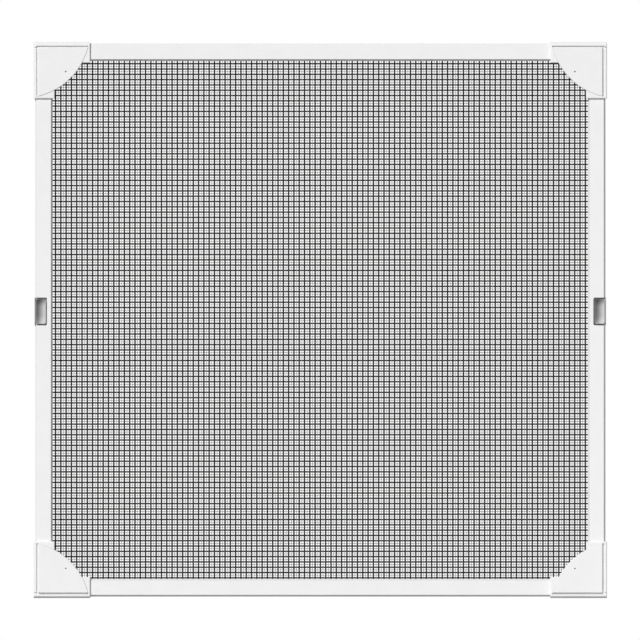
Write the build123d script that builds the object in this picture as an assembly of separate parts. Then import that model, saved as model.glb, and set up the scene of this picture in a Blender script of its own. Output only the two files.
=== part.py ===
from build123d import *
import math
import os

# Window insect screen: a mitred frame of slim white channel rails, stretched net,
# moulded corner pieces with curved cover plates, and a pressed finger pull on each side.
# Millimetres. X runs across the window, Z is up and Y runs from the room side to the
# back, so the seen face looks towards -Y. The origin is the centre of the whole box.

# Overall sizes, measured over the corner housings
frame_width = 600.0
frame_height = 582.0

# Rails: a hollow channel section, drawn from its outer edge inwards
rail_face = 18.4
rail_depth = 9.0
rail_wall = 1.2
rail_inset = 1.6
groove_width = 4.0
groove_lip = 0.5
groove_lip_height = 0.6
cord_below_lip = 0.6
net_ledge_drop = 1.1
outer_slope_width = 1.8
outer_slope_depth = 3.0
inner_slope_width = 1.9
inner_slope_depth = 3.4
slope_wall = 0.3
slope_round = 0.3
rail_back_round = 0.5
chamber_round = 0.25
mitre_gap = 0.1

# Net and the cord that holds it in the groove
net_thickness = 0.8
hem_depth = 3.2
spline_clearance = 0.05
spline_end_gap = 0.3

# Corner key: the angle piece that slides into two hollow rails
key_clearance = 0.1
key_leg = 48.0
key_tip_chamfer = 1.6
key_rib_count = 4
key_rib_pitch = 7.0
key_rib_width = 3.0
key_rib_relief = 0.5

# Corner housing: the moulding that caps two rails and carries the cover plate
corner_leg = 59.3
arm_overhang = 2.0
front_wall = 2.8
side_clearance = 0.1
back_lip_gap = 0.05
back_lip_thickness = 1.0
back_lip_width = 2.4
skirt_depth = 6.6
skirt_wall = 1.4
skirt_clearance = 0.15
end_slope_width = 1.9
end_slope_depth = 2.7
housing_round = 1.2
boss_wall = 1.5
web_rib_width = 1.2

# Cover plate and the channel that it leaves inside the housing's rim
rim_side = 2.9
rim_end = 4.0
channel_side = 1.7
channel_end = 1.5
channel_drop = 0.7
cover_proud = 0.7
seat_depth = 1.5
cover_end_gap = 2.3
cover_bulge = 10.3
cover_arc_clearance = 0.12
cover_web_inset = 0.8
cover_chamfer = 0.5
cover_corner_round = 0.6
pry_slot_width = 1.2
pry_slot_drop = 0.4
peg_width = 2.6
peg_clearance = 0.1
peg_length = 5.0
peg_from_arm = 4.6
peg_from_arc = 3.3

# Locking pin through the cover plate
pin_diameter = 1.5
pin_clearance = 0.05
pin_recess = 0.5
pin_from_apex_across = 4.4
pin_from_apex_up = 7.6

# Finger pull: sheet steel bent round a side rail's outer edge, its dish in a window in the rail
pull_height = 29.1
pull_above_middle = 8.9
pull_face = 13.25
pull_sheet = 0.5
pull_clearance = 0.1
pull_proud = 0.2
pull_edge_round = 0.2
pull_bend_round = 0.45
pull_back_flange = 7.0
window_corner_round = 2.0
window_depth = 3.0
gap_above_dish = 1.3
gap_below_dish = 1.5
gap_beside_dish = 1.2
bead_width = 0.8
bead_depth = 1.6
dish_recess = 0.6
dish_depth = 4.2
dish_wall = 0.4
dish_corner_round = 1.6
dish_side_angle = 35.0
dish_end_angle = 26.0
dish_end_run = 8.0
dish_back_sides = 40

# Small distance that carries a cutting shape past the face it cuts
past = 1.0

# Depths along Y, all tied to the stack from the cover plate to the back lip
overall_depth = (cover_proud + front_wall + rail_depth
                 + back_lip_gap + back_lip_thickness)
cover_front_y = -overall_depth / 2
arm_front_y = cover_front_y + cover_proud
seat_y = arm_front_y + seat_depth
rail_front_y = arm_front_y + front_wall
rail_back_y = rail_front_y + rail_depth
housing_back_y = overall_depth / 2
net_front_y = rail_back_y - net_ledge_drop
net_back_y = net_front_y + net_thickness

# Places across a rail, counted from its outer edge
groove_inner = rail_face - rail_wall
groove_outer = groove_inner - groove_width
groove_depth = groove_width - net_thickness + groove_lip_height + cord_below_lip
chamber_outer = outer_slope_width + slope_wall
chamber_inner = groove_outer - rail_wall
cell_inner = groove_inner - rail_wall
hem_outer = groove_inner - net_thickness
spline_radius = (groove_width - net_thickness) / 2 - spline_clearance
spline_centre = groove_outer + spline_clearance + spline_radius
spline_centre_y = rail_back_y - groove_depth + spline_clearance + spline_radius

# Half sizes of the rail frame over its outer edges
half_width = frame_width / 2 - rail_inset
half_height = frame_height / 2 - rail_inset

# Places in a corner, counted from the housing's outer corner
rail_inner = rail_inset + rail_face
arm_width = rail_inner + arm_overhang
cover_left = rim_side + channel_side
cover_bottom = rim_end + channel_end
cover_reach = corner_leg - cover_end_gap
pin_hole_radius = pin_diameter / 2 + pin_clearance
peg_socket = peg_width + 2 * peg_clearance
socket_boss = peg_socket + 2 * boss_wall


def slab(sketch, front_y, back_y):
    """Give a front-view sketch its thickness between two depths."""
    return extrude(Plane.XZ.offset(-back_y) * sketch, amount=back_y - front_y)


def box_sketch(left, bottom, right, top):
    """Rectangle from its lower left to its upper right corner."""
    return Pos((left + right) / 2, (bottom + top) / 2) * Rectangle(right - left, top - bottom)


def near(shape_list, x=None, y=None):
    """Keep the corners of a sketch that lie at the given x and y."""
    return [
        v for v in shape_list
        if (x is None or abs(v.X - x) < 1e-6) and (y is None or abs(v.Y - y) < 1e-6)
    ]


def slope(edge, depth, width):
    """Triangle that takes a steep slope off the section's front corner at an edge."""
    return make_face(Polyline((0, edge), (0, edge + width), (depth, edge), close=True))


def rail_section():
    """Channel section: x is depth from the front face, y is distance from the outer edge."""
    section = box_sketch(0, 0, rail_depth, rail_face)
    section -= slope(0, outer_slope_depth, outer_slope_width)
    section -= slope(rail_face, inner_slope_depth, -inner_slope_width)
    section -= box_sketch(rail_depth - net_ledge_drop, groove_inner - past,
                          rail_depth + past, rail_face + past)
    section -= box_sketch(rail_depth - groove_depth, groove_outer, rail_depth + past, groove_inner)
    section += box_sketch(rail_depth - groove_lip_height, groove_outer - rail_wall / 2,
                          rail_depth, groove_outer + groove_lip)
    section = fillet(near(section.vertices(), x=0), slope_round)
    section = fillet(near(section.vertices(), rail_depth, 0), rail_back_round)
    chamber = box_sketch(rail_wall, chamber_outer, rail_depth - rail_wall, chamber_inner)
    section -= fillet(chamber.vertices(), chamber_round)
    floor_front = rail_depth - groove_depth - rail_wall
    front_cell = box_sketch(rail_wall, groove_outer, floor_front, cell_inner)
    section -= fillet(front_cell.vertices(), chamber_round)
    return section


def mitred_rail(half_length, reach):
    """Bottom rail whose outer edge lies reach below the centre, cut at 45 degrees."""
    section_plane = Plane((-half_length, rail_front_y, -reach), x_dir=(0, 1, 0), z_dir=(1, 0, 0))
    bar = extrude(section_plane * rail_section(), amount=2 * half_length)
    cut = mitre_gap / math.sqrt(2)
    outer = half_length - cut
    inner = outer - rail_face
    outline = Polyline((-outer, -reach), (outer, -reach), (inner, -reach + rail_face),
                       (-inner, -reach + rail_face), close=True)
    return bar & slab(make_face(outline), rail_front_y - past, rail_back_y + past)


def corner_key():
    """Angle with ribbed legs that fills the chambers of two rails."""
    start = rail_inset + chamber_outer + key_clearance
    width = chamber_inner - chamber_outer - 2 * key_clearance
    front_y = rail_front_y + rail_wall + key_clearance
    back_y = rail_back_y - rail_wall - key_clearance
    reach = start + key_leg
    leg_across = box_sketch(start, start, reach, start + width)
    leg_up = box_sketch(start, start, start + width, reach)
    leg_across = chamfer(near(leg_across.vertices(), x=reach), key_tip_chamfer)
    leg_up = chamfer(near(leg_up.vertices(), y=reach), key_tip_chamfer)
    key = slab(leg_across + leg_up, front_y, back_y)
    for index in range(key_rib_count):
        at = reach - key_rib_pitch * (index + 1)
        low, high = at, at + key_rib_pitch - key_rib_width
        for groove in (box_sketch(low, start - past, high, start + width + past),
                       box_sketch(start - past, low, start + width + past, high)):
            key -= slab(groove, front_y - past, front_y + key_rib_relief)
            key -= slab(groove, back_y - key_rib_relief, back_y + past)
    return key


def from_chord(distance):
    """Place at a distance from the middle of the cover arc's chord, away from the corner."""
    chord_x, chord_y = cover_reach - cover_left, cover_reach - cover_bottom
    share = distance / math.hypot(chord_x, chord_y)
    middle_x, middle_y = (cover_reach + cover_left) / 2, (cover_reach + cover_bottom) / 2
    return middle_x + share * chord_y, middle_y + share * chord_x


def cover_arc():
    """Centre and radius of the arc that bounds the cover plate towards the net."""
    half_chord = math.hypot(cover_reach - cover_left, cover_reach - cover_bottom) / 2
    radius = (half_chord ** 2 + cover_bulge ** 2) / (2 * cover_bulge)
    centre_x, centre_y = from_chord(cover_bulge - radius)
    return centre_x, centre_y, radius


def curved_corner(left, bottom, growth):
    """Corner region inside the cover's arc, the arc moved outwards by growth."""
    centre_x, centre_y, radius = cover_arc()
    disc = Pos(centre_x, centre_y) * Circle(radius + growth)
    return disc & box_sketch(left, bottom, corner_leg, corner_leg)


def peg_places():
    """Two snap pegs, one beside each arm, set back from the cover's arc."""
    centre_x, centre_y, radius = cover_arc()
    close = arm_width + peg_from_arm
    far_x = centre_x + math.sqrt(radius ** 2 - (close - centre_y) ** 2) - peg_from_arc
    far_y = centre_y + math.sqrt(radius ** 2 - (close - centre_x) ** 2) - peg_from_arc
    return [(close, far_y), (far_x, close)]


def pin_place():
    """The pin sits back from the apex of the cover's arc."""
    apex_x, apex_y = from_chord(cover_bulge)
    return apex_x - pin_from_apex_across, apex_y - pin_from_apex_up


def angle_sketch(leg, width):
    """Two arms of one width that meet at the outer corner."""
    return box_sketch(0, 0, leg, width) + box_sketch(0, 0, width, leg)


def corner_housing():
    """Moulded cap: front wall with cover seat, side walls, back lips, skirt and bosses."""
    arms = angle_sketch(corner_leg, arm_width)
    web = curved_corner(rail_inner, rail_inner, -cover_web_inset)
    shell = slab(arms, arm_front_y, rail_front_y)
    end_slope = Polyline((arm_front_y, 0), (arm_front_y, end_slope_width),
                         (arm_front_y + end_slope_depth, 0), close=True)
    shell -= extrude(Plane.YZ * make_face(end_slope), amount=corner_leg)
    front_rim = shell.faces().sort_by(Axis.Y)[0].outer_wire().edges()
    shell = fillet(front_rim, housing_round)
    shell += slab(web, seat_y, rail_front_y)

    walls = angle_sketch(corner_leg, rail_inset - side_clearance)
    shell += slab(walls, rail_front_y, housing_back_y)
    lips = angle_sketch(corner_leg, rail_inset + back_lip_width)
    shell += slab(lips, rail_back_y + back_lip_gap, housing_back_y)

    inside = rail_inner + skirt_clearance
    inner_zone = (arms + web) & box_sketch(inside, inside, corner_leg, corner_leg)
    hollow = angle_sketch(corner_leg - skirt_wall, arm_width - skirt_wall)
    hollow += curved_corner(0, 0, -cover_web_inset - skirt_wall)
    skirt_back_y = rail_front_y + skirt_depth
    shell += slab(inner_zone - hollow, rail_front_y, skirt_back_y)

    pin_x, pin_y = pin_place()
    bosses = Pos(pin_x, pin_y) * Circle(pin_hole_radius + boss_wall)
    for peg_x, peg_y in peg_places():
        bosses += Pos(peg_x, peg_y) * Rectangle(socket_boss, socket_boss)
    ribs = Polyline((inside, inside), (pin_x, pin_y), (inside + pin_x, inside + pin_y))
    rib_band = trace(ribs, web_rib_width)
    shell += slab((bosses + rib_band) & inner_zone, rail_front_y, skirt_back_y)

    seat = curved_corner(rim_side, rim_end, cover_arc_clearance)
    shell -= slab(seat, arm_front_y - past, seat_y)
    channel = seat - box_sketch(cover_left, cover_bottom, corner_leg, corner_leg)
    shell -= slab(channel, seat_y - past, seat_y + channel_drop)
    slot_bottom = cover_bottom - pry_slot_drop
    slot = box_sketch(-past, slot_bottom, rim_side + past, slot_bottom + pry_slot_width)
    shell -= slab(slot, arm_front_y - past, seat_y)

    holes = Pos(pin_x, pin_y) * Circle(pin_hole_radius)
    for peg_x, peg_y in peg_places():
        holes += Pos(peg_x, peg_y) * Rectangle(peg_socket, peg_socket)
    return shell - slab(holes, arm_front_y - past, skirt_back_y + past)


def corner_cover():
    """Curved plate with chamfered edges, two snap pegs and the pin hole."""
    plate_outline = curved_corner(cover_left, cover_bottom, 0)
    corner = near(plate_outline.vertices(), cover_left, cover_bottom)
    plate_outline = fillet(corner, cover_corner_round)
    plate = slab(plate_outline, cover_front_y, seat_y)
    front_edges = plate.faces().sort_by(Axis.Y)[0].outer_wire().edges()
    plate = chamfer(front_edges, cover_chamfer)
    for peg_x, peg_y in peg_places():
        plate += slab(Pos(peg_x, peg_y) * Rectangle(peg_width, peg_width), seat_y, seat_y + peg_length)
    pin_hole = Pos(*pin_place()) * Circle(pin_hole_radius)
    return plate - slab(pin_hole, cover_front_y - past, seat_y + past)


def corner_pin():
    pin = slab(Pos(*pin_place()) * Circle(pin_diameter / 2),
               cover_front_y + pin_recess, rail_front_y + skirt_depth)
    return pin


def spline_cord(half_length, reach):
    """Round cord in the groove of the bottom rail, reach below the centre."""
    lie = Plane((-half_length, spline_centre_y, -reach), z_dir=(1, 0, 0))
    return extrude(lie * Circle(spline_radius), amount=2 * half_length)


def insect_net():
    """Stretched sheet that rests on the rails' ledges, its hem turned into the grooves."""
    hem_x, hem_z = half_width - hem_outer, half_height - hem_outer
    sheet = slab(Rectangle(2 * hem_x, 2 * hem_z), net_front_y, net_back_y)
    inner = Rectangle(2 * (hem_x - net_thickness), 2 * (hem_z - net_thickness))
    hem = Rectangle(2 * hem_x, 2 * hem_z) - inner
    return sheet + slab(hem, net_back_y - hem_depth, net_back_y)


def pull_outer_x():
    """Outer face of the left finger pull."""
    return -half_width - pull_clearance - pull_sheet


def dish_bounds():
    """Left, bottom, right and top of the left pull's dish."""
    outer = pull_outer_x()
    bottom = pull_above_middle - pull_height / 2
    return (outer + pull_sheet + bead_width, bottom + gap_below_dish,
            outer + pull_face - gap_beside_dish, bottom + pull_height - gap_above_dish)


def dish_outline(growth):
    """Front outline of the dish, grown or shrunk all round."""
    left, bottom, right, top = dish_bounds()
    outline = box_sketch(left - growth, bottom - growth, right + growth, top + growth)
    return fillet(outline.vertices(), dish_corner_round + growth)


def dish_form(growth):
    """Trough with upturned ends for the dish's floor, round inside and faceted at the back."""
    left, bottom, right, top = dish_bounds()
    side_radius = ((right - left) / 2 - dish_wall) / math.sin(math.radians(dish_side_angle))
    end_radius = dish_end_run / math.sin(math.radians(dish_end_angle))
    floor_y = rail_front_y + dish_depth
    if growth > 0:
        disc = RegularPolygon(side_radius + growth, dish_back_sides, major_radius=False)
    else:
        disc = Circle(side_radius)
    disc = Pos((left + right) / 2, floor_y - side_radius) * disc
    section = disc & box_sketch(left - past, rail_front_y - past, right + past, floor_y + past)
    low, high = bottom + dish_wall + dish_end_run, top - dish_wall - dish_end_run
    form = extrude(Plane.XY.offset(low) * section, amount=high - low)
    turn = 2 * dish_end_angle
    for level, angle in ((low, turn), (high, -turn)):
        end_axis = Axis((0, floor_y - end_radius, level), (1, 0, 0))
        form += revolve(Plane.XY.offset(level) * section, end_axis, -angle)
    return form


def dish_solid(growth):
    """The form kept inside the dish's outline, from the rim to the floor."""
    block = slab(dish_outline(growth - dish_wall), rail_front_y + dish_recess,
                 rail_front_y + dish_depth + past)
    return block & dish_form(growth)


def window_sketch():
    """Opening in the left rail's front for the dish and the dark gap round it."""
    outer = pull_outer_x()
    half = pull_height / 2
    window = box_sketch(outer - past, pull_above_middle - half,
                        outer + pull_face, pull_above_middle + half)
    return fillet(near(window.vertices(), x=outer + pull_face), window_corner_round)


def finger_pull():
    """Sheet bent round the left rail's outer edge, with a bead and a dish inside its window."""
    outer = pull_outer_x()
    front_y = rail_front_y - pull_proud
    back_y = rail_back_y + pull_clearance + pull_sheet
    bottom = pull_above_middle - pull_height / 2
    flange = box_sketch(outer, front_y, outer + pull_sheet, back_y)
    flange = fillet(near(flange.vertices(), y=front_y), pull_edge_round)
    flange += box_sketch(outer, back_y - pull_sheet, outer + pull_back_flange, back_y)
    flange = fillet(near(flange.vertices(), outer, back_y), pull_bend_round)
    sheet = extrude(Plane.XY.offset(bottom) * flange, amount=pull_height)

    left, low, right, high = dish_bounds()
    bead_y = rail_front_y + dish_recess + bead_depth
    bead = box_sketch(outer, low + dish_corner_round, left + dish_wall, high - dish_corner_round)
    sheet += slab(bead, bead_y, bead_y + dish_wall)
    sheet += dish_solid(dish_wall)
    return sheet - dish_solid(0)


def side_rail():
    """Left rail with a window in its front and room in its chamber for the dish."""
    rail = Rot(0, 90, 0) * mitred_rail(half_height, half_width)
    rail -= slab(window_sketch(), rail_front_y - past, rail_front_y + window_depth)
    room = slab(dish_outline(pull_clearance), rail_front_y - past,
                rail_front_y + dish_depth + dish_wall + pull_clearance)
    return rail - room


def save(shape, node):
    export_step(shape, f"parts/{node}.step")


def four_corners(build, name):
    """Write one piece for each corner, mirrored from the bottom left one."""
    base = Pos(-frame_width / 2, 0, -frame_height / 2) * build()
    right = mirror(base, about=Plane.YZ)
    save(base, f"{name}_bottom_left")
    save(right, f"{name}_bottom_right")
    save(mirror(base, about=Plane.XY), f"{name}_top_left")
    save(mirror(right, about=Plane.XY), f"{name}_top_right")


def opposite_pair(shape, about, name, first, second):
    """Write a piece and its mirror image on the opposite side of the frame."""
    save(shape, f"{name}_{first}")
    save(mirror(shape, about=about), f"{name}_{second}")


def main():
    os.makedirs("parts", exist_ok=True)
    opposite_pair(mitred_rail(half_width, half_height), Plane.XY, "rail", "bottom", "top")
    opposite_pair(side_rail(), Plane.YZ, "rail", "left", "right")

    four_corners(corner_key, "corner_key")
    four_corners(corner_housing, "corner_housing")
    four_corners(corner_cover, "corner_cover")
    four_corners(corner_pin, "corner_pin")

    cord_x, cord_z = half_width - spline_centre, half_height - spline_centre
    across = cord_x - spline_radius - spline_end_gap
    opposite_pair(spline_cord(across, cord_z), Plane.XY, "spline", "bottom", "top")
    upright = Rot(0, 90, 0) * spline_cord(cord_z + spline_radius, cord_x)
    opposite_pair(upright, Plane.YZ, "spline", "left", "right")

    save(insect_net(), "insect_net")
    opposite_pair(finger_pull(), Plane.YZ, "finger_pull", "left", "right")


main()
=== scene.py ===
# %% [markdown]
# # A window insect screen
# The part is a flat frame of white channel rails with moulded corners, a pressed metal
# finger pull on each side rail, and a woven net stretched across the back. The rigid
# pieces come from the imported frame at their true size. This script gives every piece its
# finish, weaves the net yarn by yarn, and lights the whole as a plain product picture.

import math

import bmesh
import bpy
from mathutils import Matrix, Vector


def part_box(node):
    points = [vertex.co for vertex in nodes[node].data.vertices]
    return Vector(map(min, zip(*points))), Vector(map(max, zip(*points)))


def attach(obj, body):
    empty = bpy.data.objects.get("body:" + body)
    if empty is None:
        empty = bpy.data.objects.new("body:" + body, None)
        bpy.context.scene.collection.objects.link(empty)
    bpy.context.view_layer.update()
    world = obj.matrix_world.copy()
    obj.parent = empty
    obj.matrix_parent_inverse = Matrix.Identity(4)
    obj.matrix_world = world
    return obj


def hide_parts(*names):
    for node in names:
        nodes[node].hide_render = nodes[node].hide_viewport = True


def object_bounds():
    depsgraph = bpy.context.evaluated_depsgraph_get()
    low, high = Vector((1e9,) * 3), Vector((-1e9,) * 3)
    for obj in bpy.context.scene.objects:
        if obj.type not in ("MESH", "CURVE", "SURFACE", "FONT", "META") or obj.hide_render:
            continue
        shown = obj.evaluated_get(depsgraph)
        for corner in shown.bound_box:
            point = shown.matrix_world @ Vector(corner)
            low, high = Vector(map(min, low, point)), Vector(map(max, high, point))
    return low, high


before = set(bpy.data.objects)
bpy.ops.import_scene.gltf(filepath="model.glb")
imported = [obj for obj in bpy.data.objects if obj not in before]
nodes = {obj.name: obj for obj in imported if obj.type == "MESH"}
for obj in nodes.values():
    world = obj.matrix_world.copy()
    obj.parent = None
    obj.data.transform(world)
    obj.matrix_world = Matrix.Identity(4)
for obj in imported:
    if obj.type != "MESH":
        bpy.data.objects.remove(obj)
cad_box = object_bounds()
scene = bpy.context.scene
print("pieces in the frame:", len(nodes))
print("whole box:", [[round(v, 4) for v in corner] for corner in cad_box])

# %% [markdown]
# ## The camera
# The picture is a straight front view without perspective, so the camera is orthographic
# and looks along +Y. In such a camera one length, the width of the view in metres, sets
# the scale. The screen is 600 mm wide and reads 573.4 pixels, which gives the metres in
# one pixel, and the view is 640 of those pixels wide.

# %% Camera
IMAGE_SIDE = 640
SCREEN_WIDTH_PIXELS = 573.4
SCREEN_CENTRE_PIXEL = (320.3, 320.0)
CAMERA_DISTANCE = 2.0

low, high = (Vector(corner) for corner in cad_box)
pixel = (high.x - low.x) / SCREEN_WIDTH_PIXELS

camera_data = bpy.data.cameras.new("front_camera")
camera_data.type = "ORTHO"
camera_data.ortho_scale = IMAGE_SIDE * pixel
camera = bpy.data.objects.new("front_camera", camera_data)
camera.location = (
    (IMAGE_SIDE / 2 - SCREEN_CENTRE_PIXEL[0]) * pixel,
    -CAMERA_DISTANCE,
    (SCREEN_CENTRE_PIXEL[1] - IMAGE_SIDE / 2) * pixel,
)
camera.rotation_euler = (math.radians(90), 0, 0)
scene.collection.objects.link(camera)
scene.camera = camera
print("millimetres in a pixel:", round(pixel * 1000, 4))

# %% [markdown]
# ## How a finish starts
# Every finish here is a node tree on the Principled shader. Its patterns read Object
# coordinates, which are the real metres of the part, so a grain has its true size on a
# long rail and on a small corner alike, and nothing needs to be unwrapped.

# %% Start of a finish
def start_finish(name, metallic=0.0):
    """New material, with its node tree, its shader and the coordinates to read."""
    material = bpy.data.materials.new(name)
    material.use_nodes = True
    tree = material.node_tree
    shader = tree.nodes["Principled BSDF"]
    shader.inputs["Metallic"].default_value = metallic
    coordinates = tree.nodes.new("ShaderNodeTexCoord").outputs["Object"]
    print("finish:", name)
    return material, tree, shader, coordinates


# %% [markdown]
# ## Grain
# No real surface is quite even. Noise gives it blots of a chosen size. A mapping in front
# of it squeezes the blots along one axis or draws them out, which makes streaks.

# %% Grain
def grain(tree, coordinates, size, squeeze=(1, 1, 1)):
    """Noise with blots about size metres across, squeezed along each axis."""
    mapping = tree.nodes.new("ShaderNodeMapping")
    mapping.inputs["Scale"].default_value = squeeze
    tree.links.new(coordinates, mapping.inputs["Vector"])
    noise = tree.nodes.new("ShaderNodeTexNoise")
    noise.inputs["Scale"].default_value = 1 / size
    tree.links.new(mapping.outputs["Vector"], noise.inputs["Vector"])
    return noise.outputs["Fac"]


# %% [markdown]
# ## What a pattern does
# A pattern shifts the colour a little, makes the surface shinier here and duller there,
# and lifts it as bump. Noise seldom leaves the middle of its range from 0 to 1, so two
# values nearer to a half stand for its lowest and its highest.

# %% Tone
PATTERN_LOW = 0.35
PATTERN_HIGH = 0.65


def grey(value):
    """Grey for a colour socket, which also wants an opacity."""
    return (value, value, value, 1)


def two_tones(tree, shader, pattern, dark, light):
    """Let a pattern run the base colour from one grey to another."""
    ramp = tree.nodes.new("ShaderNodeValToRGB")
    first, last = ramp.color_ramp.elements
    first.position = PATTERN_LOW
    first.color = grey(dark)
    last.position = PATTERN_HIGH
    last.color = grey(light)
    tree.links.new(pattern, ramp.inputs["Fac"])
    tree.links.new(ramp.outputs["Color"], shader.inputs["Base Color"])


# %% Gloss and relief
def uneven_gloss(tree, shader, pattern, shiny, dull):
    """Let a pattern run the roughness from shiny to dull."""
    span = tree.nodes.new("ShaderNodeMapRange")
    span.inputs["From Min"].default_value = PATTERN_LOW
    span.inputs["From Max"].default_value = PATTERN_HIGH
    span.inputs["To Min"].default_value = shiny
    span.inputs["To Max"].default_value = dull
    tree.links.new(pattern, span.inputs["Value"])
    tree.links.new(span.outputs["Result"], shader.inputs["Roughness"])


def relief(tree, shader, pattern, height):
    """Lift the surface by a pattern, height metres at most."""
    bump = tree.nodes.new("ShaderNodeBump")
    bump.inputs["Distance"].default_value = height
    tree.links.new(pattern, bump.inputs["Height"])
    tree.links.new(bump.outputs["Normal"], shader.inputs["Normal"])


# %% [markdown]
# ## White powder coat
# The rails are aluminium under a baked white powder. Such a coat is satin and has a very
# fine orange peel, a ripple a millimetre across that only shows in a glancing highlight.
# So the colour stays almost flat, and the noise works mostly through gloss and bump.

# %% Powder coat
powder_coat, tree, shader, place = start_finish("white_powder_coat")
two_tones(tree, shader, grain(tree, place, size=0.020), dark=0.862, light=0.876)
peel = grain(tree, place, size=0.0012)
uneven_gloss(tree, shader, peel, shiny=0.38, dull=0.46)
relief(tree, shader, peel, height=0.000008)

# %% [markdown]
# ## White moulded plastic
# The corner pieces are moulded in white plastic. The tool leaves a fine even grain, finer
# than the powder's ripple, and the face is a touch duller than the rails.

# %% Moulded plastic
corner_plastic, tree, shader, place = start_finish("white_moulded_plastic")
two_tones(tree, shader, grain(tree, place, size=0.012), dark=0.860, light=0.874)
tool_grain = grain(tree, place, size=0.0004)
uneven_gloss(tree, shader, tool_grain, shiny=0.46, dull=0.54)
relief(tree, shader, tool_grain, height=0.000006)

# %% [markdown]
# ## Satin sheet steel
# The finger pulls are pressed from sheet steel polished to a satin. A metal shader with a
# middling roughness blurs what the dish mirrors. The fine polishing lines run up and down
# the sheet, so the noise is squeezed across and drawn out along Z, and it varies the tone,
# the gloss and the relief together.

# %% Sheet steel
pull_steel, tree, shader, place = start_finish("satin_sheet_steel", metallic=1.0)
lines = grain(tree, place, size=0.0016, squeeze=(8, 8, 0.4))
two_tones(tree, shader, lines, dark=0.75, light=0.81)
uneven_gloss(tree, shader, lines, shiny=0.33, dull=0.43)
relief(tree, shader, lines, height=0.000004)

# %% [markdown]
# ## Ribbed rubber
# The cord in the back groove is grey rubber with fine ribs along its length. Ribs could be
# modelled, but 0.6 mm apart they are better as bump. A wave pattern makes them: the cords
# lie along X and along Z, and stripes across Y give ribs along both. Blender's wave turns
# through 20 radians for each unit along an axis, and through 10 for each unit of
# X + Y + Z, which is what its diagonal stripes follow.

# %% Stripes and cord rubber
WAVE_RADIANS = {"Y": 20, "DIAGONAL": 10}


def stripes(tree, coordinates, spacing, direction):
    """Soft stripes across Y or across X + Y + Z, spacing metres apart along an axis."""
    wave = tree.nodes.new("ShaderNodeTexWave")
    wave.bands_direction = direction
    wave.inputs["Scale"].default_value = 2 * math.pi / (WAVE_RADIANS[direction] * spacing)
    tree.links.new(coordinates, wave.inputs["Vector"])
    return wave.outputs["Fac"]


cord_rubber, tree, shader, place = start_finish("ribbed_grey_rubber")
dust = grain(tree, place, size=0.004)
two_tones(tree, shader, dust, dark=0.030, light=0.042)
uneven_gloss(tree, shader, dust, shiny=0.62, dull=0.78)
ribs = stripes(tree, place, spacing=0.0006, direction="Y")
relief(tree, shader, ribs, height=0.00006)

# %% [markdown]
# ## Keys and pins
# The corner keys inside the rails are grey plastic with a moulded grain. The pins that
# lock the covers are dull steel, and one noise gives them their scuffs in tone, gloss and
# relief at once.

# %% Key plastic and pin steel
key_plastic, tree, shader, place = start_finish("grey_key_plastic")
two_tones(tree, shader, grain(tree, place, size=0.003), dark=0.050, light=0.065)
key_grain = grain(tree, place, size=0.0005)
uneven_gloss(tree, shader, key_grain, shiny=0.50, dull=0.60)
relief(tree, shader, key_grain, height=0.00001)

pin_steel, tree, shader, place = start_finish("dull_pin_steel", metallic=1.0)
scuffs = grain(tree, place, size=0.0008)
two_tones(tree, shader, scuffs, dark=0.16, light=0.24)
uneven_gloss(tree, shader, scuffs, shiny=0.40, dull=0.50)
relief(tree, shader, scuffs, height=0.00001)

# %% [markdown]
# ## Dress the frame
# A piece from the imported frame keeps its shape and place, and only its material slots
# are filled. The names of the pieces say which finish each one takes.

# %% Give the frame's pieces their finishes
FINISH_OF = {
    "rail": powder_coat,
    "corner_housing": corner_plastic,
    "corner_cover": corner_plastic,
    "corner_key": key_plastic,
    "corner_pin": pin_steel,
    "spline": cord_rubber,
    "finger_pull": pull_steel,
}
dressed = 0
for name, piece in nodes.items():
    for start, finish in FINISH_OF.items():
        if name.startswith(start):
            piece.data.materials.clear()
            piece.data.materials.append(finish)
            dressed += 1
print("pieces dressed:", dressed)

# %% [markdown]
# ## Yarn finishes
# The net is woven from coated glass yarn. The main yarns are nearly black, and halfway
# between them run finer, paler threads. A yarn is a twist of fibres under a soft coating,
# so shallow stripes run askew over it. Stripes across X + Y + Z cross upright and level
# yarns alike at 45 degrees, and one finish serves both.

# %% Yarn finishes
TWIST_SPACING_TO_DEPTH = 12


def yarn_finish(name, dark, light, twist):
    """Coated twisted yarn, the twist's stripes so many metres apart along the yarn."""
    finish, tree, shader, place = start_finish(name)
    wear = grain(tree, place, size=0.003)
    two_tones(tree, shader, wear, dark, light)
    uneven_gloss(tree, shader, wear, shiny=0.52, dull=0.68)
    fibres = stripes(tree, place, twist, direction="DIAGONAL")
    relief(tree, shader, fibres, height=twist / TWIST_SPACING_TO_DEPTH)
    return finish


main_yarn = yarn_finish("dark_coated_yarn", dark=0.007, light=0.018, twist=0.0008)
fine_thread = yarn_finish("pale_fine_thread", dark=0.16, light=0.22, twist=0.0004)

# %% [markdown]
# ## Where the yarns lie
# The net is counted from the photo: the dark yarns are 5.3 pixels apart both ways. The
# sheet reaches from groove to groove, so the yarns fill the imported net's own box. Two
# yarns cross in front of each other by turns, so each one waves to and fro between the
# net's two faces. The pitch is the step from yarn to yarn, and the phase is the pixel that
# one yarn of each direction passes through.

# %% Sizes of the weave
NET_THICKNESS = 0.0008
YARN_PITCH_PIXELS = (5.298, 5.300)
YARN_PHASE_PIXELS = (320.42, 318.13)
YARN_WIDTH = 0.00158
YARN_THICKNESS = 0.00038
THREAD_WIDTH = 0.00050
THREAD_THICKNESS = 0.00020

net_low, net_high = (Vector(corner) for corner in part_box("insect_net"))
net_plane = net_high.y - NET_THICKNESS / 2
sway = (NET_THICKNESS - YARN_THICKNESS) / 2
print("yarns sway to each side by millimetres:", round(sway * 1000, 3))

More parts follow.
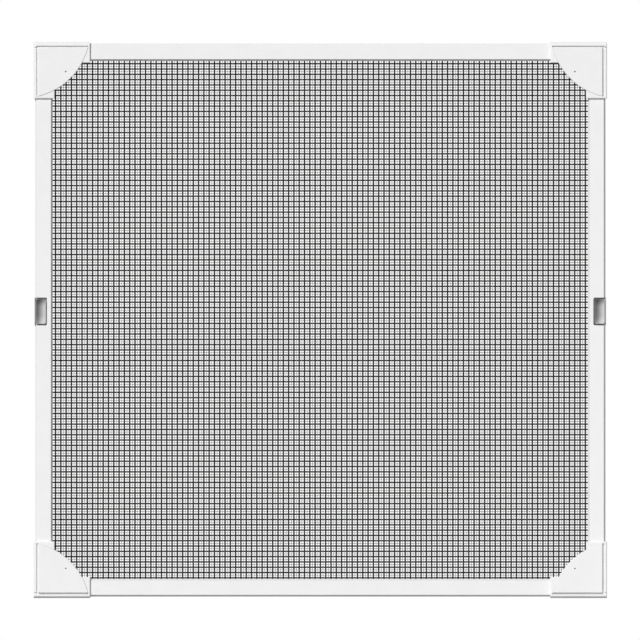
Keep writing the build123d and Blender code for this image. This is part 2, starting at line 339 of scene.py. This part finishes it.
# %% Places of the yarns
pitch_x = YARN_PITCH_PIXELS[0] * pixel
pitch_z = YARN_PITCH_PIXELS[1] * pixel
first_x = (YARN_PHASE_PIXELS[0] - SCREEN_CENTRE_PIXEL[0]) * pixel
first_z = (SCREEN_CENTRE_PIXEL[1] - YARN_PHASE_PIXELS[1]) * pixel


def stations(start, pitch, lowest, highest, margin):
    """Places one pitch apart that pass through start, kept inside two edges."""
    begin = math.ceil((lowest + margin - start) / pitch)
    end = math.floor((highest - margin - start) / pitch)
    return [start + pitch * step for step in range(begin, end + 1)]


yarn_xs = stations(first_x, pitch_x, net_low.x, net_high.x, margin=YARN_WIDTH)
yarn_zs = stations(first_z, pitch_z, net_low.z, net_high.z, margin=YARN_WIDTH)
print("upright yarns:", len(yarn_xs), "level yarns:", len(yarn_zs))

# %% [markdown]
# ## A strip, ring by ring
# A yarn could be a curve with a round bevel, but the net has nearly ten thousand
# crossings, so each point of a ring counts. A yarn is a strip with four points to a ring.
# It starts as one rectangle, its cross-section, which is extruded and set in place again
# and again. The extrude operator leaves the old face inside the strip. It is deleted,
# except for the very first one, which closes the strip's start.

# %% Cross-section and extrusion
def end_face(mesh, width, thickness):
    """Rectangle at the origin, scaled from a square with sides of 1."""
    made = bmesh.ops.create_grid(mesh, x_segments=1, y_segments=1, size=0.5)
    bmesh.ops.scale(mesh, verts=made["verts"], vec=(width, thickness, 1))
    return mesh.faces[:][0]


def extrude_ring(mesh, face):
    """Extrude an end face where it is, and return the new end face."""
    closes_start = all(len(edge.link_faces) == 1 for edge in face.edges)
    made = bmesh.ops.extrude_face_region(mesh, geom=[face])["geom"]
    if not closes_start:
        bmesh.ops.delete(mesh, geom=[face], context="FACES_ONLY")
    return next(item for item in made if isinstance(item, bmesh.types.BMFace))


def place_ring(mesh, face, centre, tilt=0.0):
    """Move an end face's middle to a point, tipped about X by tilt."""
    now = face.calc_center_median()
    bmesh.ops.translate(mesh, verts=face.verts[:], vec=-now)
    if tilt:
        turn = Matrix.Rotation(tilt, 3, "X")
        bmesh.ops.rotate(mesh, verts=face.verts[:], cent=(0, 0, 0), matrix=turn)
    bmesh.ops.translate(mesh, verts=face.verts[:], vec=centre)


# %% [markdown]
# ## One waving yarn
# The yarn stands along Z. Each crossing sets a ring a little to the front or to the back
# by turns, and smooth shading rounds the strip. At both ends the yarn turns into the
# groove, as the hem of a real net does: its first ring faces into the groove, the ring in
# the corner is tipped back by half of that, as a mitre, and the next stands straight.

# %% Waving yarn
QUARTER_TURN = math.radians(90)
MITRE = QUARTER_TURN / 2
FRONT = -1
BACK = 1


def woven_yarn(crossings, lowest, highest, front_first):
    """One waving yarn along Z at x = 0, its ends turned into the grooves."""
    mesh = bmesh.new()
    face = end_face(mesh, YARN_WIDTH, YARN_THICKNESS)
    half = YARN_THICKNESS / 2
    place_ring(mesh, face, (0, net_low.y, lowest + half), QUARTER_TURN)
    face = extrude_ring(mesh, face)
    place_ring(mesh, face, (0, net_plane, lowest + half), -MITRE)
    for index, height in enumerate(crossings):
        side = FRONT if (index % 2 == 0) == front_first else BACK
        face = extrude_ring(mesh, face)
        tilt = -MITRE if index == 0 else 0.0
        place_ring(mesh, face, (0, net_plane + side * sway, height), tilt)
    face = extrude_ring(mesh, face)
    place_ring(mesh, face, (0, net_plane, highest - half), -MITRE)
    face = extrude_ring(mesh, face)
    place_ring(mesh, face, (0, net_low.y, highest - half), -MITRE)
    bmesh.ops.recalc_face_normals(mesh, faces=mesh.faces[:])
    return mesh


# %% [markdown]
# ## One fine thread
# The fine threads are bonded to the main yarns and don't wave, so one extrusion makes
# each of them.

# %% Fine thread
def straight_thread(lowest, highest, depth):
    """One straight fine thread along Z at x = 0."""
    mesh = bmesh.new()
    face = end_face(mesh, THREAD_WIDTH, THREAD_THICKNESS)
    place_ring(mesh, face, (0, depth, lowest))
    face = extrude_ring(mesh, face)
    place_ring(mesh, face, (0, depth, highest))
    bmesh.ops.recalc_face_normals(mesh, faces=mesh.faces[:])
    return mesh


# %% [markdown]
# ## Copies across the net
# Upright and level yarns are the same thing turned. A finished strip is kept as a pattern
# mesh, which is read back in once for each place across the net. Turning by 90 degrees
# about Y lays a strip level and carries its +Z end to +X. The index says which of the
# net's two materials the strip takes.

# %% Lay copies
MAIN = 0
FINE = 1


def lay_copies(cloth, strip, places, level, material_index):
    """Copy a strip to each place across the net, upright or level."""
    for face in strip.faces:
        face.material_index = material_index
    pattern = bpy.data.meshes.new("strip_pattern")
    strip.to_mesh(pattern)
    strip.free()
    turn = Matrix.Rotation(QUARTER_TURN, 3, "Y")
    for across in places:
        before = len(cloth.verts)
        cloth.from_mesh(pattern)
        cloth.verts.ensure_lookup_table()
        fresh = cloth.verts[before:]
        if level:
            bmesh.ops.rotate(cloth, verts=fresh, cent=(0, 0, 0), matrix=turn)
            bmesh.ops.translate(cloth, verts=fresh, vec=(0, 0, across))
        else:
            bmesh.ops.translate(cloth, verts=fresh, vec=(across, 0, 0))
    bpy.data.meshes.remove(pattern)


# %% [markdown]
# ## Weave the main yarns
# A weaver calls the upright yarns the warp and the level ones the weft. Each is laid in
# two lots, because neighbours start on opposite sides. A weft yarn's crossings are the
# places of the warp, and the other way round. Where the warp passes in front, the weft
# passes behind.

# %% Main yarns
cloth = bmesh.new()
for parity in (0, 1):
    warp = woven_yarn(yarn_zs, net_low.z, net_high.z, front_first=parity == 0)
    lay_copies(cloth, warp, yarn_xs[parity::2], level=False, material_index=MAIN)
    weft = woven_yarn(yarn_xs, net_low.x, net_high.x, front_first=parity == 1)
    lay_copies(cloth, weft, yarn_zs[parity::2], level=True, material_index=MAIN)
print("faces in the main yarns:", len(cloth.faces))

# %% [markdown]
# ## Add the fine threads
# One fine thread runs halfway between each two main yarns. The upright ones lie in the
# net's front face and the level ones in its back face, so they clear each other.

# %% Fine threads
thread_offset = NET_THICKNESS / 2 - THREAD_THICKNESS / 2
between_xs = [x + pitch_x / 2 for x in yarn_xs[:-1]]
between_zs = [z + pitch_z / 2 for z in yarn_zs[:-1]]

warp = straight_thread(net_low.z + YARN_WIDTH, net_high.z - YARN_WIDTH,
                       depth=net_plane - thread_offset)
lay_copies(cloth, warp, between_xs, level=False, material_index=FINE)
weft = straight_thread(net_low.x + YARN_WIDTH, net_high.x - YARN_WIDTH,
                       depth=net_plane + thread_offset)
lay_copies(cloth, weft, between_zs, level=True, material_index=FINE)
print("fine threads:", len(between_xs) + len(between_zs))

# %% [markdown]
# ## The net as one piece
# All the yarns become one object, as one sheet of net is one piece on the bench. Its two
# materials go in the order of their indices.

# %% Net object
net_mesh = bpy.data.meshes.new("woven_net")
cloth.to_mesh(net_mesh)
cloth.free()
net_mesh.shade_smooth()
net_mesh.materials.append(main_yarn)
net_mesh.materials.append(fine_thread)
net = bpy.data.objects.new("woven_net", net_mesh)
scene.collection.objects.link(net)

net_mesh.calc_loop_triangles()
print("net triangles:", len(net_mesh.loop_triangles))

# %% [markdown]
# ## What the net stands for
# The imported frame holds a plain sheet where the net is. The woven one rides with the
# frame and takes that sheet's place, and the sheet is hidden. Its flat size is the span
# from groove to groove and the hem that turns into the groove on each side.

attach(net, "root")
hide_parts("insect_net")

# %% [markdown]
# ## Floor
# A floor lies just under the screen, edge on to the front camera, and shows in the views
# from above. It is one large face. Glossy rays pass it by and get the studio of a later
# step instead.

# %% Floor
FLOOR_SIDE = 6.0
FLOOR_GAP = 0.0004

floor_height = low.z - FLOOR_GAP
floor_face = bmesh.new()
bmesh.ops.create_grid(floor_face, x_segments=1, y_segments=1, size=FLOOR_SIDE / 2)
bmesh.ops.translate(floor_face, verts=floor_face.verts[:], vec=(0, 0, floor_height))
floor_mesh = bpy.data.meshes.new("floor")
floor_face.to_mesh(floor_mesh)
floor_face.free()
floor = bpy.data.objects.new("floor", floor_mesh)
floor.visible_glossy = False
scene.collection.objects.link(floor)
print("floor at height:", round(floor_height, 4))

# %% [markdown]
# ## The floor's two tones
# The floor is matt. Light Path gives it two tones: the camera sees it pale, while the
# light that it throws back up is that of a middling grey, so that edges which face down
# stay as dark as in the photo.

# %% Floor finish
FLOOR_BOUNCE = 0.46
FLOOR_CLOUDS = 0.02
FLOOR_SEEN = 0.76

floor_finish, tree, shader, place = start_finish("pale_floor")
cloudy = grain(tree, place, size=0.3)
two_tones(tree, shader, cloudy, dark=FLOOR_BOUNCE, light=FLOOR_BOUNCE + FLOOR_CLOUDS)
uneven_gloss(tree, shader, cloudy, shiny=0.75, dull=0.85)

bounced = shader.inputs["Base Color"].links[0].from_socket
floor_rays = tree.nodes.new("ShaderNodeLightPath")
tone = tree.nodes.new("ShaderNodeMix")
tone.data_type = "RGBA"
tone.inputs["B"].default_value = grey(FLOOR_SEEN)
tree.links.new(floor_rays.outputs["Is Camera Ray"], tone.inputs["Factor"])
tree.links.new(bounced, tone.inputs["A"])
tree.links.new(tone.outputs["Result"], shader.inputs["Base Color"])
floor_mesh.materials.append(floor_finish)

# %% [markdown]
# ## Suns
# The light is plain and soft. A sun lights every part of a flat frame alike, as the photo
# shows, and its angle in the sky sets how soft the shadow is. The key sun comes from the
# upper left, so slopes that face down or to the right go grey and the covers' channels
# show as lines. A weaker, wider sun stands behind on the right for the back and the right
# side, so low that it can't reach a slope that the front camera sees. Both are kept out
# of mirrored light, where they would burn a white spot into the dished steel.

# %% Suns
def add_sun(name, towards, strength, spread):
    """Sun that shines along a direction, with a spread in degrees."""
    data = bpy.data.lights.new(name, "SUN")
    data.energy = strength
    data.angle = math.radians(spread)
    sun = bpy.data.objects.new(name, data)
    sun.rotation_euler = Vector(towards).to_track_quat("-Z", "Y").to_euler()
    sun.visible_glossy = False
    scene.collection.objects.link(sun)
    print(name, "strength:", strength, "spread in degrees:", spread)


add_sun("key_sun", towards=(0.353, 0.784, -0.51), strength=3.16, spread=16)
add_sun("back_sun", towards=(-0.50, -0.80, -0.33), strength=2.6, spread=40)

# %% [markdown]
# ## The surroundings
# The world plays three parts, and Light Path tells them apart by the kind of ray. The
# camera sees pure white behind the net. Diffuse rays, which fill the shadows, get a weak
# even light. Glossy rays, which decide what the steel mirrors, get a studio of their own.
# In this way the white background puts no light on the part.

# %% World
world = bpy.data.worlds.new("studio")
scene.world = world
world.use_nodes = True
sky = world.node_tree
sky.nodes.clear()
sky_rays = sky.nodes.new("ShaderNodeLightPath")
print("world:", world.name)

# %% [markdown]
# ## Helpers for the world
# A world is a node tree too, and a few nodes come back in it: a light of some strength, a
# choice between two lights by the kind of ray, a calculation, and a ramp.

# %% Lights and choices
def background(strength):
    """White light of a plain strength, or of one that a socket gives."""
    light = sky.nodes.new("ShaderNodeBackground")
    light.inputs["Color"].default_value = grey(1)
    if isinstance(strength, float):
        light.inputs["Strength"].default_value = strength
    else:
        sky.links.new(strength, light.inputs["Strength"])
    return light.outputs["Background"]


def choose(ray_kind, otherwise, chosen):
    """Shader that a kind of ray gets, and the one that the others get."""
    node = sky.nodes.new("ShaderNodeMixShader")
    sky.links.new(ray_kind, node.inputs["Fac"])
    sky.links.new(otherwise, node.inputs[1])
    sky.links.new(chosen, node.inputs[2])
    return node.outputs["Shader"]


# %% Calculations and ramps
def calculate(operation, first, *others):
    """Math node on a socket, with sockets or plain numbers after it."""
    node = sky.nodes.new("ShaderNodeMath")
    node.operation = operation
    for socket, value in zip(node.inputs, (first, *others)):
        if isinstance(value, float):
            socket.default_value = value
        else:
            sky.links.new(value, socket)
    return node.outputs["Value"]


def ramp_between(value, lowest, highest, darkest=0.0):
    """Run from darkest to 1 while a value runs from lowest to highest."""
    node = sky.nodes.new("ShaderNodeMapRange")
    node.inputs["From Min"].default_value = lowest
    node.inputs["From Max"].default_value = highest
    node.inputs["To Min"].default_value = darkest
    sky.links.new(value, node.inputs["Value"])
    return node.outputs["Result"]


# %% [markdown]
# ## The studio's wall
# The studio has one white wall on the upper left. A dot product tells how far a ray leans
# towards it. The wall is darkest at the first of two leans and white at the second, and a
# power bends that even slope so that straight ahead is grey. A dish of satin steel then
# goes from dark at the left to bright at the right, as in the photo.

# %% Studio wall
WALL_DIRECTION = (-0.80, 0.0, 0.55)
WALL_LEANS = (-0.8, 0.7)
WALL_BEND = 1.56
DARKEST_WALL = 0.12

direction = sky.nodes.new("ShaderNodeTexCoord").outputs["Generated"]
lean = sky.nodes.new("ShaderNodeVectorMath")
lean.operation = "DOT_PRODUCT"
lean.inputs[1].default_value = WALL_DIRECTION
sky.links.new(direction, lean.inputs[0])
bent = calculate("POWER", ramp_between(lean.outputs["Value"], *WALL_LEANS), WALL_BEND)
wall = calculate("MULTIPLY_ADD", bent, 1 - DARKEST_WALL, DARKEST_WALL)
print("darkest wall:", DARKEST_WALL)

# %% [markdown]
# ## The studio's floor
# Below the horizon the studio gets darker still, like a shaded floor. A ray's height runs
# from -1, straight down, to 1, straight up, and the shade deepens between two heights. It
# shows in the top of the dish, which faces down.

# %% Studio floor
SHADED_HEIGHTS = (-0.9, -0.3)
DARKEST_FLOOR = 0.15

height = sky.nodes.new("ShaderNodeSeparateXYZ")
sky.links.new(direction, height.inputs["Vector"])
shade = ramp_between(height.outputs["Z"], *SHADED_HEIGHTS, DARKEST_FLOOR)
mirrored = background(calculate("MULTIPLY", wall, shade))
print("darkest floor:", DARKEST_FLOOR)

# %% [markdown]
# ## Join the three
# One mix gives glossy rays the studio and the rest the fill. A second one gives white to
# what the camera sees, straight or through something clear.

# %% Join the three
FILL_STRENGTH = 0.10

camera_ray = sky_rays.outputs["Is Camera Ray"]
clear_ray = sky_rays.outputs["Is Transmission Ray"]
seen = calculate("MAXIMUM", camera_ray, clear_ray)
lighting = choose(sky_rays.outputs["Is Glossy Ray"], background(FILL_STRENGTH), mirrored)
output = sky.nodes.new("ShaderNodeOutputWorld")
sky.links.new(choose(seen, lighting, background(1.0)), output.inputs["Surface"])
print("fill strength:", FILL_STRENGTH)

# %% [markdown]
# ## Plain colours
# The Standard view shows a colour as it is written.

# %% Colour view
scene.view_settings.view_transform = "Standard"
